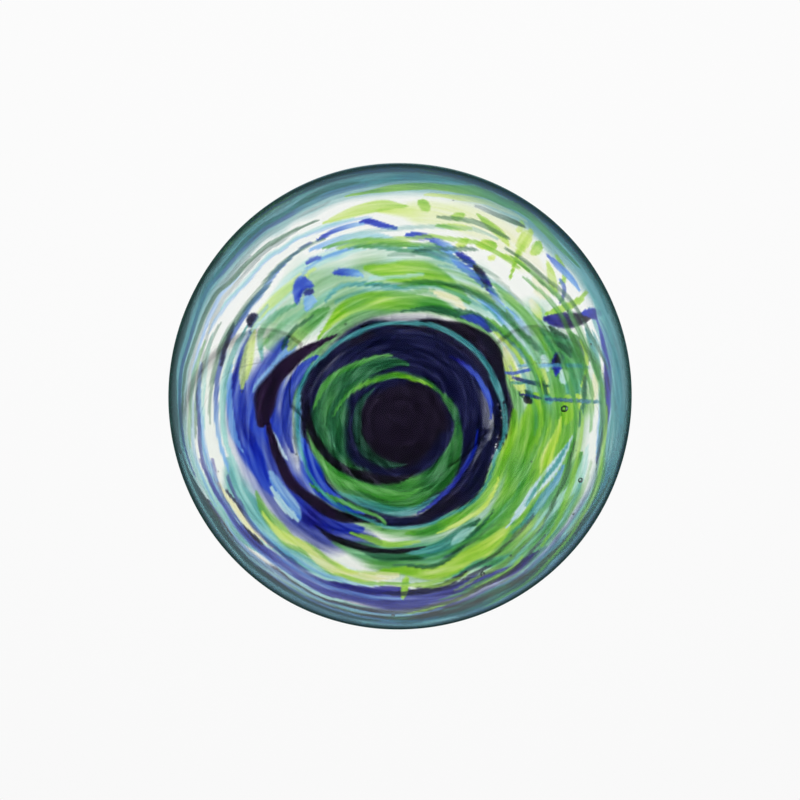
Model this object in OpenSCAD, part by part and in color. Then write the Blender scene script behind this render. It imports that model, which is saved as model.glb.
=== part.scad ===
// Hand blown art glass vase: a cased, heavy-walled round form with a wide, flared mouth.
// The glass is layered as it is gathered: an outer clear casing, a colour bed in which
// swirled colours lie side by side in clear glass, an inner clear lining and a rolled lip.
// Every colour piece fills its own place in the bed, face to face with its neighbours.

/* [Body] */
// Widest diameter
body_d = 116; // [100:1:130]
// Height from the foot to the top of the lip
height = 150; // [142:1:162]
// Height of the widest place
belly_z = 46; // [42:1:52]
// Diameter of the flat foot
foot_d = 58; // [52:1:64]

/* [Neck and lip] */
// Outside diameter at the narrowest place
neck_d = 82; // [76:1:88]
// Height of the narrowest place
neck_z = 116; // [112:1:120]
// Outside diameter of the lip
lip_d = 92; // [88:1:98]

/* [Glass] */
// Wall thickness at the widest place
belly_wall = 7.4; // [6:0.1:9]
// Wall thickness at the neck
neck_wall = 4.8; // [4:0.1:6]
// Thickness of the rounded lip
lip_wall = 5; // [4.5:0.1:6]
// Thickness of the glass in the middle of the base
base_t = 17; // [14:0.5:22]
// Diameter of the polished pontil hollow in the foot
pontil_d = 27; // [20:1:32]
// Depth of the pontil hollow
pontil_depth = 1.6; // [1:0.1:2.4]

/* [Colour bed] */
// Share of the wall that the outer casing takes
casing_share = 0.36; // [0.3:0.02:0.4]
// Share of the wall outside the inner lining
lining_share = 0.62; // [0.58:0.02:0.7]
// Height at which the colours run out, below the lip
colour_top = 106; // [98:1:110]
// Height at which the body's glass is drawn out into the neck
shoulder_z = 84; // [76:1:92]

/* [Hidden] */

body_r = body_d / 2;
foot_r = foot_d / 2;
neck_r = neck_d / 2;
lip_round = lip_wall * 0.42;
lip_r = lip_d / 2 - lip_round;
lip_z = height - lip_round;
lip_base_z = height - 9;
foot_edge = 0.8;
curve_steps = 9;
stroke_steps = 8;

// One point, and the points after the first, of a cubic curve through four controls.
function curve_point(p, t) = pow(1 - t, 3) * p[0] + 3 * pow(1 - t, 2) * t * p[1]
    + 3 * (1 - t) * t * t * p[2] + pow(t, 3) * p[3];
function curve(p, steps) = [for (i = [1:steps]) curve_point(p, i / steps)];

// Outside and inside of the wall, each from the middle of the base up to the lip, with the
// same number of points, so that a share of the wall is a blend of the two.
outer_line = concat(
    [[0, 0], [foot_r * 0.6, 0], [foot_r, 0]],
    curve([[foot_r, foot_edge], [body_r * 0.84, foot_edge], [body_r, belly_z * 0.45],
        [body_r, belly_z]], curve_steps),
    curve([[body_r, belly_z], [body_r, belly_z + 38], [neck_r, neck_z - 36],
        [neck_r, neck_z]], curve_steps),
    curve([[neck_r, neck_z], [neck_r, neck_z + 14], [lip_r - 5, lip_z - 9],
        [lip_r + lip_round, lip_z]], curve_steps));

cavity_r = body_r - belly_wall;
throat_r = neck_r - neck_wall;
inner_line = concat(
    [[0, base_t], [foot_r * 0.3, base_t], [foot_r * 0.5, base_t + 0.4]],
    curve([[foot_r * 0.5, base_t + 0.4], [cavity_r * 0.78, base_t + 1.5],
        [cavity_r, belly_z * 0.66], [cavity_r, belly_z]], curve_steps),
    curve([[cavity_r, belly_z], [cavity_r, belly_z + 36], [throat_r, neck_z - 34],
        [throat_r, neck_z]], curve_steps),
    curve([[throat_r, neck_z], [throat_r, neck_z + 15], [lip_r - 10, lip_z - 8],
        [lip_r - lip_round, lip_z]], curve_steps));

function wall_line(share) = [for (i = [0:len(outer_line) - 1])
    outer_line[i] * (1 - share) + inner_line[i] * share];
function reversed(list) = [for (i = [len(list) - 1:-1:0]) list[i]];

// The glass between two shares of the wall, revolved, cut between two heights.
module layer(share_out, share_in, low, high) {
    rotate_extrude($fn = 96)
        intersection() {
            polygon(concat(wall_line(share_out), reversed(wall_line(share_in))));
            translate([0, low]) square([body_r + 1, high - low]);
        }
}

// Where a stroke is at step t: it runs from one angle and radius to another, the radius in
// shares of the body's, and thins out at both ends.
function stroke_edge(s, t, side) = let(
    angle = s[0] + (s[1] - s[0]) * t,
    half = s[4] / 2 * (0.12 + 0.88 * sin(180 * t)),
    r = (s[2] + (s[3] - s[2]) * t + side * half) * body_r) r * [cos(angle), sin(angle)];
// A stroke is [start angle, end angle, start radius, end radius, width].
module strokes(list) {
    for (s = list)
        polygon(concat(
            [for (i = [0:stroke_steps]) stroke_edge(s, i / stroke_steps, 1)],
            [for (i = [stroke_steps:-1:0]) stroke_edge(s, i / stroke_steps, -1)]));
}

// Swirls under the belly, drawn in plan. Each colour gives way to those above it here.
thread_strokes = [[182, 24, 0.6, 0.82, 0.018], [206, 262, 0.84, 0.88, 0.016]];
blade_strokes = [[62, -30, 0.55, 0.63, 0.13]];
cobalt_strokes = [[34, -62, 0.74, 0.71, 0.12], [-70, -150, 0.64, 0.62, 0.14],
    [205, 150, 0.88, 0.91, 0.06]];
teal_strokes = [[74, 14, 0.69, 0.82, 0.07], [-75, -135, 0.8, 0.85, 0.1],
    [238, 200, 0.66, 0.74, 0.08]];
lime_strokes = [[118, 72, 0.6, 0.61, 0.12], [180, 124, 0.72, 0.8, 0.13],
    [-40, -92, 0.83, 0.72, 0.08], [232, 188, 0.86, 0.62, 0.1]];
// Frit spots are [angle, radius share]; shards are [angle, radius share, length].
frit = [[84, 0.82], [97, 0.74], [110, 0.86], [126, 0.68], [150, 0.91], [268, 0.9]];
frit_d = 2.6;
shards = [[52, 0.6, 5], [44, 0.86, 4], [70, 0.84, 3.4], [180, 0.8, 4.4], [146, 0.66, 3.6]];
// The middle of the foot: two rings round the core, a little off the axis.
lime_ring_r = body_r * 0.37;
lime_ring_at = [0.8, -0.6];
navy_ring_r = body_r * 0.5;
navy_ring_at = [-1.6, 1];
rings_r = body_r * 0.53;

module core_plan() circle(d = pontil_d, $fn = 96);
module lime_disc() translate(lime_ring_at) circle(r = lime_ring_r, $fn = 96);
module lime_ring_plan() {
    difference() {
        lime_disc();
        core_plan();
    }
}
module navy_ring_plan() {
    difference() {
        translate(navy_ring_at) circle(r = navy_ring_r, $fn = 96);
        lime_disc();
    }
}
module frit_plan() {
    for (f = frit)
        rotate(f[0]) translate([body_r * f[1], 0]) circle(d = frit_d, $fn = 24);
}
module shards_plan() {
    for (s = shards)
        rotate(s[0]) translate([body_r * s[1], 0]) square([s[2], s[2] / 2]);
}
module small_plan() {
    frit_plan();
    shards_plan();
}
module thread_plan() {
    difference() {
        strokes(thread_strokes);
        small_plan();
    }
}
// Strokes of one colour, less the rings, the small pieces, the threads and other colours.
module swirl_plan(own, others) {
    difference() {
        strokes(own);
        circle(r = rings_r, $fn = 96);
        small_plan();
        strokes(thread_strokes);
        strokes(others);
    }
}
module blade_plan() swirl_plan(blade_strokes, []);
module cobalt_plan() swirl_plan(cobalt_strokes, blade_strokes);
module teal_plan() swirl_plan(teal_strokes, concat(blade_strokes, cobalt_strokes));
module lime_plan() swirl_plan(lime_strokes,
    concat(blade_strokes, cobalt_strokes, teal_strokes));
module under_plan() {
    core_plan();
    lime_ring_plan();
    navy_ring_plan();
    small_plan();
    strokes(thread_strokes);
    swirl_plan(concat(blade_strokes, cobalt_strokes, teal_strokes, lime_strokes), []);
}

// Ribbons of one colour that climb from the belly to the neck, drawn in plan.
ribbon_count = 3;
ribbon_turn = 105;
function ribbons(first, width) = [for (i = [0:ribbon_count - 1])
    let(start = first + i * 360 / ribbon_count)
    [start, start + ribbon_turn, 0.96, 0.64, width]];
module cobalt_ribbon_plan() strokes(ribbons(0, 0.08));
module teal_ribbon_plan() strokes(ribbons(40, 0.07));
module lime_ribbon_plan() strokes(ribbons(80, 0.08));
module over_plan() {
    cobalt_ribbon_plan();
    teal_ribbon_plan();
    lime_ribbon_plan();
}

// The colour bed under and over the widest place, cut to a plan outline.
module bed_under() {
    intersection() {
        layer(casing_share, lining_share, 0, belly_z);
        linear_extrude(belly_z + 1) children();
    }
}
module bed_over() {
    intersection() {
        layer(casing_share, lining_share, belly_z, colour_top);
        translate([0, 0, belly_z - 1]) linear_extrude(colour_top) children();
    }
}

module outer_casing() {
    sphere_r = (pow(pontil_d / 2, 2) + pow(pontil_depth, 2)) / (2 * pontil_depth);
    color("honeydew")
        difference() {
            layer(0, casing_share, 0, shoulder_z);
            translate([0, 0, pontil_depth - sphere_r]) sphere(r = sphere_r, $fn = 96);
        }
}
module neck_casing() {
    color("honeydew") layer(0, casing_share, shoulder_z, lip_base_z);
}
module inner_lining() {
    color("azure") layer(lining_share, 1, 0, shoulder_z);
}
module neck_lining() {
    color("azure") layer(lining_share, 1, shoulder_z, lip_base_z);
}
module rolled_lip() {
    color("mintcream") {
        layer(0, 1, lip_base_z, lip_z);
        translate([0, 0, lip_z])
            rotate_extrude($fn = 96)
                translate([lip_r, 0])
                    intersection() {
                        circle(r = lip_round, $fn = 48);
                        translate([-lip_wall, 0]) square([lip_wall * 2, lip_wall]);
                    }
    }
}
module clear_bed() {
    color("aliceblue") {
        difference() {
            layer(casing_share, lining_share, 0, belly_z);
            linear_extrude(belly_z + 1) under_plan();
        }
        difference() {
            layer(casing_share, lining_share, belly_z, lip_base_z);
            translate([0, 0, belly_z - 1]) linear_extrude(colour_top - belly_z + 1) over_plan();
        }
    }
}
module purple_core() color("indigo") bed_under() core_plan();
module lime_ring() color("limegreen") bed_under() lime_ring_plan();
module navy_ring() color("midnightblue") bed_under() navy_ring_plan();
module maroon_blade() color("purple") bed_under() blade_plan();
module cobalt_swirl() color("mediumblue") bed_under() cobalt_plan();
module teal_swirl() color("teal") bed_under() teal_plan();
module lime_swirl() color("yellowgreen") bed_under() lime_plan();
module navy_threads() color("navy") bed_under() thread_plan();
module yellow_frit() color("khaki") bed_under() frit_plan();
module blue_shards() color("royalblue") bed_under() shards_plan();
module cobalt_ribbons() color("blue") bed_over() cobalt_ribbon_plan();
module teal_ribbons() color("darkcyan") bed_over() teal_ribbon_plan();
module lime_ribbons() color("lawngreen") bed_over() lime_ribbon_plan();

outer_casing();
neck_casing();
inner_lining();
neck_lining();
rolled_lip();
clear_bed();
purple_core();
lime_ring();
navy_ring();
maroon_blade();
cobalt_swirl();
teal_swirl();
lime_swirl();
yellow_frit();
blue_shards();
navy_threads();
cobalt_ribbons();
teal_ribbons();
lime_ribbons();
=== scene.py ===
import bpy
import bmesh
import math
import random
import numpy as np
from mathutils import Matrix, Vector


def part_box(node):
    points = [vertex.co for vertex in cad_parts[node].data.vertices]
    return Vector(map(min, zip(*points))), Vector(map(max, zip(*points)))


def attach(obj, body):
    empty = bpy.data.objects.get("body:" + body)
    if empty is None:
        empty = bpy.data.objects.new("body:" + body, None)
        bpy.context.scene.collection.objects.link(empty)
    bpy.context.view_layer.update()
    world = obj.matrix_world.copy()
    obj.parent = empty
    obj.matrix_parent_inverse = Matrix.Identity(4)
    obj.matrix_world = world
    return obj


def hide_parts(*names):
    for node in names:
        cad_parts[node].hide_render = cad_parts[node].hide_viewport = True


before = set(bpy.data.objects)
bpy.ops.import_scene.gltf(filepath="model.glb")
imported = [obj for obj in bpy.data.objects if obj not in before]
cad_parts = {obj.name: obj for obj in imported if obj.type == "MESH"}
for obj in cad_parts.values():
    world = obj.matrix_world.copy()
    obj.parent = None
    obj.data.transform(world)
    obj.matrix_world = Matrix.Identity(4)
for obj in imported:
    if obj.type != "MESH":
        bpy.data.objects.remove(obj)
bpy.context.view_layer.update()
MM = 0.001

# ---------------------------------------------------------------- sizes, from the frame
BODY_R = (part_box("outer_casing")[1].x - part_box("outer_casing")[0].x) / 2
TOP_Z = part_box("rolled_lip")[1].z
LIP_BASE_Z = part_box("rolled_lip")[0].z
LIP_R = (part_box("rolled_lip")[1].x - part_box("rolled_lip")[0].x) / 2
BELLY_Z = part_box("cobalt_ribbons")[0].z
SHOULDER_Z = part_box("neck_casing")[0].z
PONTIL_R = (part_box("purple_core")[1].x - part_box("purple_core")[0].x) / 2
# The rest are shares of the body, as in the design.
FOOT_R = BODY_R * 0.5
FOOT_EDGE = 0.8 * MM
NECK_R = BODY_R * 0.7069
NECK_Z = TOP_Z * 0.7733
BELLY_WALL = BODY_R * 0.1276
NECK_WALL = BODY_R * 0.0828
BASE_T = BODY_R * 0.293
LIP_ROUND = BODY_R * 0.0362
LIP_Z = TOP_Z - LIP_ROUND
PONTIL_DEPTH = BODY_R * 0.0276
# The bed of colour lies between these shares of the wall.
BED_OUT = 0.37
BED_IN = 0.61


# ---------------------------------------------------------------- the wall
FOOT_STEPS, BELLY_STEPS, NECK_STEPS, LIP_STEPS = 12, 36, 44, 24


def curve(p0, p1, p2, p3, steps):
    """The points after the first of a cubic curve in (radius, height)."""
    points = []
    for i in range(1, steps + 1):
        t = i / steps
        a, b, c, d = (1 - t) ** 3, 3 * (1 - t) ** 2 * t, 3 * (1 - t) * t * t, t ** 3
        points.append((a * p0[0] + b * p1[0] + c * p2[0] + d * p3[0],
                       a * p0[1] + b * p1[1] + c * p2[1] + d * p3[1]))
    return points


def outer_line():
    """The outside of the wall, from the middle of the foot up to the lip."""
    foot, belly, neck = (FOOT_R, FOOT_EDGE), (BODY_R, BELLY_Z), (NECK_R, NECK_Z)
    steps = [i / FOOT_STEPS for i in range(FOOT_STEPS + 1)]
    line = [(FOOT_R * t, FOOT_EDGE * t ** 8) for t in steps]
    line += curve(foot, (BODY_R * 0.84, FOOT_EDGE), (BODY_R, BELLY_Z * 0.45), belly,
                  BELLY_STEPS)
    line += curve(belly, (BODY_R, BELLY_Z + 38 * MM), (NECK_R, NECK_Z - 36 * MM), neck,
                  NECK_STEPS)
    line += curve(neck, (NECK_R, NECK_Z + 14 * MM),
                  (LIP_R - LIP_ROUND - 5 * MM, LIP_Z - 9 * MM), (LIP_R, LIP_Z), LIP_STEPS)
    return line


def inner_line():
    """The inside of the wall, with one point for each point of outer_line."""
    cavity, throat = BODY_R - BELLY_WALL, NECK_R - NECK_WALL
    base, belly, neck = (FOOT_R * 0.5, BASE_T + 0.4 * MM), (cavity, BELLY_Z), (throat, NECK_Z)
    steps = [i / FOOT_STEPS for i in range(FOOT_STEPS + 1)]
    line = [(base[0] * t, BASE_T + 0.4 * MM * t ** 4) for t in steps]
    line += curve(base, (cavity * 0.78, BASE_T + 1.5 * MM), (cavity, BELLY_Z * 0.66), belly,
                  BELLY_STEPS)
    line += curve(belly, (cavity, BELLY_Z + 36 * MM), (throat, NECK_Z - 34 * MM), neck,
                  NECK_STEPS)
    line += curve(neck, (throat, NECK_Z + 15 * MM),
                  (LIP_R - LIP_ROUND - 10 * MM, LIP_Z - 8 * MM),
                  (LIP_R - 2 * LIP_ROUND, LIP_Z), LIP_STEPS)
    return line


OUTER = np.array(outer_line())
INNER = np.array(inner_line())


class Wall:
    """One surface in the wall, at a share of its thickness: 0 is outside, 1 is the cavity.
    A place on it is an angle and a run, the length along its line from the foot's middle."""

    def __init__(self, share):
        self.line = OUTER + (INNER - OUTER) * share
        steps = np.hypot(*np.diff(self.line, axis=0).T)
        self.run = np.concatenate([[0], np.cumsum(steps)])
        self.belly = int(np.argmax(self.line[:, 0]))

    def run_at_radius(self, radius):
        """The run where the underside reaches a radius."""
        low = slice(0, self.belly + 1)
        return np.interp(radius, self.line[low, 0], self.run[low])

    def run_at_height(self, height):
        """The run where the wall above the belly reaches a height."""
        return np.interp(height, self.line[self.belly:, 1], self.run[self.belly:])

    def radius_height(self, run):
        return np.interp(run, self.run, self.line[:, 0]), np.interp(run, self.run, self.line[:, 1])

    def slope(self, run):
        """Unit direction of the line, in (radius, height), at a run."""
        r0, z0 = self.radius_height(run - 0.4 * MM)
        r1, z1 = self.radius_height(run + 0.4 * MM)
        length = np.hypot(r1 - r0, z1 - z0) + 1e-12
        return (r1 - r0) / length, (z1 - z0) / length

    def place(self, angle, run, lift=0.0):
        """Points at angles and runs, lifted outward along the surface's normal."""
        run = np.clip(run, 0, self.run[-1])
        r, z = self.radius_height(run)
        dr, dz = self.slope(run)
        r, z = r + dz * lift, z - dr * lift
        return np.stack([-r * np.cos(angle), r * np.sin(angle), z], axis=-1)


# ---------------------------------------------------------------- mesh helpers
def make_object(name, verts, faces, smooth=True):
    mesh = bpy.data.meshes.new(name)
    mesh.from_pydata([tuple(v) for v in verts], [], faces)
    mesh.update()
    for face in mesh.polygons:
        face.use_smooth = smooth
    obj = bpy.data.objects.new(name, mesh)
    bpy.context.scene.collection.objects.link(obj)
    return obj


def face_outward(obj):
    bm = bmesh.new()
    bm.from_mesh(obj.data)
    bmesh.ops.recalc_face_normals(bm, faces=bm.faces)
    bm.to_mesh(obj.data)
    bm.free()


def hand_wave(angle, height, size):
    """The slight unevenness of a hand-turned wall, at angles and one height."""
    rise = min(1.0, max(0.0, height / (25 * MM)))
    lobes = (0.5 * np.cos(2 * angle + 0.8 + height * 9) + 0.3 * np.sin(3 * angle - height * 21)
             + 0.2 * np.sin(5 * angle + height * 34))
    return size * rise * lobes


def revolve(lines, segments=240, wave=0.0):
    """Vertices and quads of a closed revolved skin. lines is a list of (points, wave share)
    run end to end; a line that starts or ends on the axis is closed with a fan there."""
    angles = np.linspace(0, 2 * math.pi, segments, endpoint=False)
    verts, faces, rings = [], [], []
    for points, share in lines:
        for r, z in points:
            if r < 1e-6:
                rings.append([len(verts)])
                verts.append((0.0, 0.0, z))
                continue
            radii = r + hand_wave(angles, z, wave * share)
            rings.append(list(range(len(verts), len(verts) + segments)))
            verts += list(zip(radii * np.cos(angles), radii * np.sin(angles), [z] * segments))
    spans = list(zip(rings, rings[1:]))
    if len(rings[0]) > 1:
        spans.append((rings[-1], rings[0]))
    for low, high in spans:
        for j in range(segments):
            k = (j + 1) % segments
            corners = [low[j % len(low)], low[k % len(low)],
                       high[k % len(high)], high[j % len(high)]]
            unique = list(dict.fromkeys(corners))
            if len(unique) > 2:
                faces.append(unique)
    return verts, faces


# ---------------------------------------------------------------- material helpers
def new_material(name):
    mat = bpy.data.materials.new(name)
    mat.use_nodes = True
    nodes, links = mat.node_tree.nodes, mat.node_tree.links
    nodes.clear()
    return mat, nodes, links


def node(nodes, kind, **inputs):
    made = nodes.new(kind)
    for key, value in inputs.items():
        made.inputs[key.replace("_", " ")].default_value = value
    return made


def math_node(nodes, links, operation, a, b=None, c=None, clamp=False):
    made = nodes.new("ShaderNodeMath")
    made.operation = operation
    made.use_clamp = clamp
    for i, value in enumerate((a, b, c)):
        if value is None:
            continue
        if isinstance(value, (int, float)):
            made.inputs[i].default_value = value
        else:
            links.new(value, made.inputs[i])
    return made.outputs[0]


def mix_colour(nodes, links, factor, a, b, blend="MIX"):
    made = nodes.new("ShaderNodeMix")
    made.data_type = "RGBA"
    made.blend_type = blend
    for i, value in ((0, factor), (6, a), (7, b)):
        if isinstance(value, tuple):
            made.inputs[i].default_value = value + (1.0,)
        elif isinstance(value, (int, float)):
            made.inputs[i].default_value = value
        else:
            links.new(value, made.inputs[i])
    return made.outputs[2]


def smooth_step(nodes, links, value, low, high):
    """0 where a value is low and 1 where it is high, with a smooth change between."""
    made = nodes.new("ShaderNodeMapRange")
    made.interpolation_type = "SMOOTHSTEP"
    made.inputs["From Min"].default_value = low
    made.inputs["From Max"].default_value = high
    links.new(value, made.inputs[0])
    return made.outputs[0]


def noise(nodes, links, scale, detail, vector, distortion=0.0):
    made = node(nodes, "ShaderNodeTexNoise", Scale=scale, Detail=detail, Distortion=distortion)
    links.new(vector, made.inputs["Vector"])
    return made.outputs["Fac"]


GLASS_IOR = 1.5
CLEAR = (0.975, 0.985, 0.97)
# Tints for the thick low wall where it is seen edge on: partly the tint of thick glass, partly painted
# shade for the dark surroundings seen through the edge.
RIM_TINT_AND_PAINTED_SHADE = (0.3, 0.52, 0.58)
EDGE_TINT_AND_PAINTED_SHADE = (0.03, 0.075, 0.07)
PAINTED_SHADE_FADE = 14 * MM


def clear_glass(name, edge_tint_and_painted_shade=False, see_through=0.0):
    """Polished clear glass with faint ripples. A share of the light may pass unbent, as it does
    through a thin rounded lip. With the edge tint turned on, the heavy low part of the wall is
    painted dark grey-green, then near black, the more edge on it is seen. This is partly the tint
    of thick glass and partly painted shade that stands in for the dark surroundings seen through the edge."""
    mat, nodes, links = new_material(name)
    out = nodes.new("ShaderNodeOutputMaterial")
    shader = node(nodes, "ShaderNodeBsdfGlass", Roughness=0.0, IOR=GLASS_IOR)
    place = nodes.new("ShaderNodeTexCoord").outputs["Object"]
    striae = noise(nodes, links, 55.0, 3.0, place, 1.2)
    colour = mix_colour(nodes, links, striae, CLEAR, (0.995, 0.998, 0.985))
    if edge_tint_and_painted_shade:
        facing = node(nodes, "ShaderNodeLayerWeight", Blend=0.5).outputs["Facing"]
        split = nodes.new("ShaderNodeSeparateXYZ")
        links.new(place, split.inputs[0])
        low = smooth_step(nodes, links, split.outputs[2], BELLY_Z + PAINTED_SHADE_FADE, BELLY_Z)
        # Painted shade: the glass colour goes grey-green, then near black, the more edge on the low wall
        # is seen.
        for tint, start, full in ((RIM_TINT_AND_PAINTED_SHADE, 0.5, 0.72), (EDGE_TINT_AND_PAINTED_SHADE, 0.72, 0.9)):
            edge = smooth_step(nodes, links, facing, start, full)
            amount = math_node(nodes, links, "MULTIPLY", edge, low)
            colour = mix_colour(nodes, links, amount, colour, tint)
    links.new(colour, shader.inputs["Color"])
    bump = node(nodes, "ShaderNodeBump", Strength=0.25, Distance=0.00005)
    links.new(noise(nodes, links, 120.0, 2.0, place), bump.inputs["Height"])
    links.new(bump.outputs[0], shader.inputs["Normal"])
    surface = shader.outputs[0]
    if see_through:
        mixed = node(nodes, "ShaderNodeMixShader", Fac=see_through)
        links.new(surface, mixed.inputs[1])
        links.new(nodes.new("ShaderNodeBsdfTransparent").outputs[0], mixed.inputs[2])
        surface = mixed.outputs[0]
    links.new(surface, out.inputs[0])
    return mat


def fused_glass():
    """The joint between two fused layers of the same glass, where light isn't bent."""
    mat, nodes, links = new_material("fused_joint")
    out = nodes.new("ShaderNodeOutputMaterial")
    shader = nodes.new("ShaderNodeBsdfTransparent")
    place = nodes.new("ShaderNodeTexCoord").outputs["Object"]
    colour = mix_colour(nodes, links, noise(nodes, links, 40.0, 2.0, place),
                        (1.0, 1.0, 1.0), (0.985, 0.995, 0.99))
    links.new(colour, shader.inputs[0])
    links.new(shader.outputs[0], out.inputs[0])
    return mat


def air_seed():
    """The skin of a bubble, where light bends out of the glass."""
    mat, nodes, links = new_material("air_seed")
    out = nodes.new("ShaderNodeOutputMaterial")
    shader = node(nodes, "ShaderNodeBsdfGlass", Roughness=0.0, IOR=1 / GLASS_IOR)
    place = nodes.new("ShaderNodeTexCoord").outputs["Object"]
    colour = mix_colour(nodes, links, noise(nodes, links, 300.0, 2.0, place),
                        (1.0, 1.0, 1.0), (0.93, 0.97, 0.95))
    links.new(colour, shader.inputs["Color"])
    links.new(shader.outputs[0], out.inputs[0])
    return mat


def coloured_glass(name, streaks):
    """Coloured glass fused inside clear glass: it only filters the light that passes. The
    colour is laid on the mesh, and fine streaks along the swirl make it thicker and thinner."""
    mat, nodes, links = new_material(name)
    out = nodes.new("ShaderNodeOutputMaterial")
    tint = node(nodes, "ShaderNodeAttribute")
    tint.attribute_name = "tint"
    flow = node(nodes, "ShaderNodeAttribute")
    flow.attribute_name = "flow"
    fine = noise(nodes, links, 1.0, 4.0, flow.outputs["Vector"], 0.4)
    depth = math_node(nodes, links, "MULTIPLY_ADD", fine, 4 * streaks, 1.0 - 2 * streaks)
    gamma = nodes.new("ShaderNodeGamma")
    links.new(tint.outputs["Color"], gamma.inputs[0])
    links.new(math_node(nodes, links, "MAXIMUM", depth, 0.3), gamma.inputs[1])
    clear = nodes.new("ShaderNodeBsdfTransparent")
    links.new(gamma.outputs[0], clear.inputs[0])
    links.new(clear.outputs[0], out.inputs[0])
    return mat


# ---------------------------------------------------------------- clear glass
def pontil_rise(r):
    """Height of the ground and polished hollow in the middle of the foot."""
    ball = (PONTIL_R ** 2 + PONTIL_DEPTH ** 2) / (2 * PONTIL_DEPTH)
    return math.sqrt(ball ** 2 - r ** 2) - (ball - PONTIL_DEPTH) if r < PONTIL_R else 0.0


def until(line, height):
    """The part of a line from the foot up to a height, ending exactly there."""
    low = [tuple(p) for p in line if p[1] < height - 1e-6]
    a, b = line[len(low) - 1], line[len(low)]
    t = (height - a[1]) / (b[1] - a[1])
    return low + [(a[0] + (b[0] - a[0]) * t, height)]


def beyond(line, height):
    """The part of a line from a height up to the lip."""
    cut = until(line, height)[-1]
    return [cut] + [tuple(p) for p in line if p[1] > height + 1e-6]


def mark_fused(obj, fused, is_fused):
    """Gives the second material to the faces that lie on a fused joint, with a crisp edge."""
    obj.data.materials.append(fused)
    bm = bmesh.new()
    bm.from_mesh(obj.data)
    for face in bm.faces:
        c = face.calc_center_median()
        face.material_index = int(is_fused(math.hypot(c.x, c.y), c.z))
    for edge in bm.edges:
        edge.smooth = len({face.material_index for face in edge.link_faces}) == 1
    bm.to_mesh(obj.data)
    bm.free()


WAVE = 0.22 * MM


def make_casing(glass, fused):
    hollow = [(PONTIL_R * i / 14, pontil_rise(PONTIL_R * i / 14)) for i in range(14)]
    flat = [p for p in until(Wall(0).line, LIP_BASE_Z) if p[0] >= PONTIL_R or p[1] > 1 * MM]
    skin = hollow + [(PONTIL_R, 0.0)] + flat
    joint = until(Wall(BED_OUT).line, LIP_BASE_Z)[::-1]
    verts, faces = revolve([(skin, 1.0), (joint, 0.6)], wave=WAVE)
    obj = make_object("clear_casing", verts, faces)
    face_outward(obj)
    obj.data.materials.append(glass)
    middle = Wall(BED_OUT / 2)
    limit = lambda r, z: on_inner_side(middle, r, z) or z > LIP_BASE_Z - 1e-5
    mark_fused(obj, fused, limit)
    return obj


def on_inner_side(wall, r, z):
    """Whether a place lies on the cavity's side of a wall surface."""
    d = np.hypot(wall.line[:, 0] - r, wall.line[:, 1] - z)
    i = int(np.clip(np.argmin(d), 1, len(d) - 2))
    a, b = wall.line[i - 1], wall.line[i + 1]
    return (b[0] - a[0]) * (z - a[1]) - (b[1] - a[1]) * (r - a[0]) > 0


def make_lining(glass, fused):
    joint = until(Wall(BED_IN).line, LIP_BASE_Z)
    cavity = until(Wall(1).line, LIP_BASE_Z)[::-1]
    verts, faces = revolve([(joint, 0.6), (cavity, -0.8)], wave=WAVE)
    obj = make_object("clear_lining", verts, faces)
    face_outward(obj)
    obj.data.materials.append(glass)
    middle = Wall((1 + BED_IN) / 2)
    limit = lambda r, z: not on_inner_side(middle, r, z) or z > LIP_BASE_Z - 1e-5
    mark_fused(obj, fused, limit)
    return obj


def make_lip(glass, fused):
    outside = beyond(Wall(0).line, LIP_BASE_Z)
    inside = beyond(Wall(1).line, LIP_BASE_Z)[::-1]
    centre = LIP_R - LIP_ROUND
    crown = [(centre + LIP_ROUND * math.cos(math.pi * i / 14),
              LIP_Z + LIP_ROUND * math.sin(math.pi * i / 14)) for i in range(1, 14)]
    verts, faces = revolve([(outside, 1.0), (crown, 0.5), (inside, -0.8)], wave=WAVE)
    obj = make_object("fire_polished_lip", verts, faces)
    face_outward(obj)
    obj.data.materials.append(glass)
    mark_fused(obj, fused, lambda r, z: z < LIP_BASE_Z + 1e-5)
    return obj


# ---------------------------------------------------------------- coloured strokes
COLOURS = {
    "cobalt": (0.015, 0.045, 0.55),
    "violet": (0.035, 0.05, 0.34),
    "deep": (0.008, 0.008, 0.2),
    "sky": (0.2, 0.45, 0.92),
    "pale": (0.62, 0.82, 0.92),
    "navy": (0.008, 0.009, 0.045),
    "black": (0.009, 0.006, 0.016),
    "maroon": (0.016, 0.006, 0.028),
    "teal": (0.06, 0.33, 0.36),
    "aqua": (0.42, 0.78, 0.78),
    "lime": (0.27, 0.6, 0.03),
    "leaf": (0.07, 0.33, 0.05),
    "forest": (0.015, 0.1, 0.045),
    "yellow": (0.66, 0.85, 0.14),
    "cream": (0.93, 0.9, 0.62),
    "smoke": (0.35, 0.42, 0.44),
}
SHEET_SHARE = 0.49       # how deep in the wall the layer of colour lies
SHEET_THICK = 0.12 * MM
COLOUR_TOP = 88 * MM     # nothing coloured is higher
LOW_STEP = 0.4 * MM      # the net's steps under the belly and above it
HIGH_STEP = 0.5 * MM
TURNS = 720              # the net's steps round the axis
PATH_STEP = 0.9 * MM     # the steps along a stroke's middle line
THIN_LOW = 0.8 * MM      # the least width of a stroke under the belly and above it
THIN_HIGH = 2.0 * MM
TIP_WIDTH = 0.35         # the width of a stroke's tips, as a share of its middle's
FAINTEST = 0.06          # glass with less colour than this is left clear
THREADS = 80
STRANDS = 120


def lattice(i, j, seed):
    """A repeatable value from 0 to 1 for each pair of whole numbers."""
    mask = 0xFFFFFFFF
    h = (i.astype(np.int64) * 374761393 + j.astype(np.int64) * 668265263 + seed * 974634777) & mask
    h = ((h ^ (h >> 13)) * 1274126177) & mask
    return ((h ^ (h >> 16)) & 0xFFFFFF) / 0xFFFFFF


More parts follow.
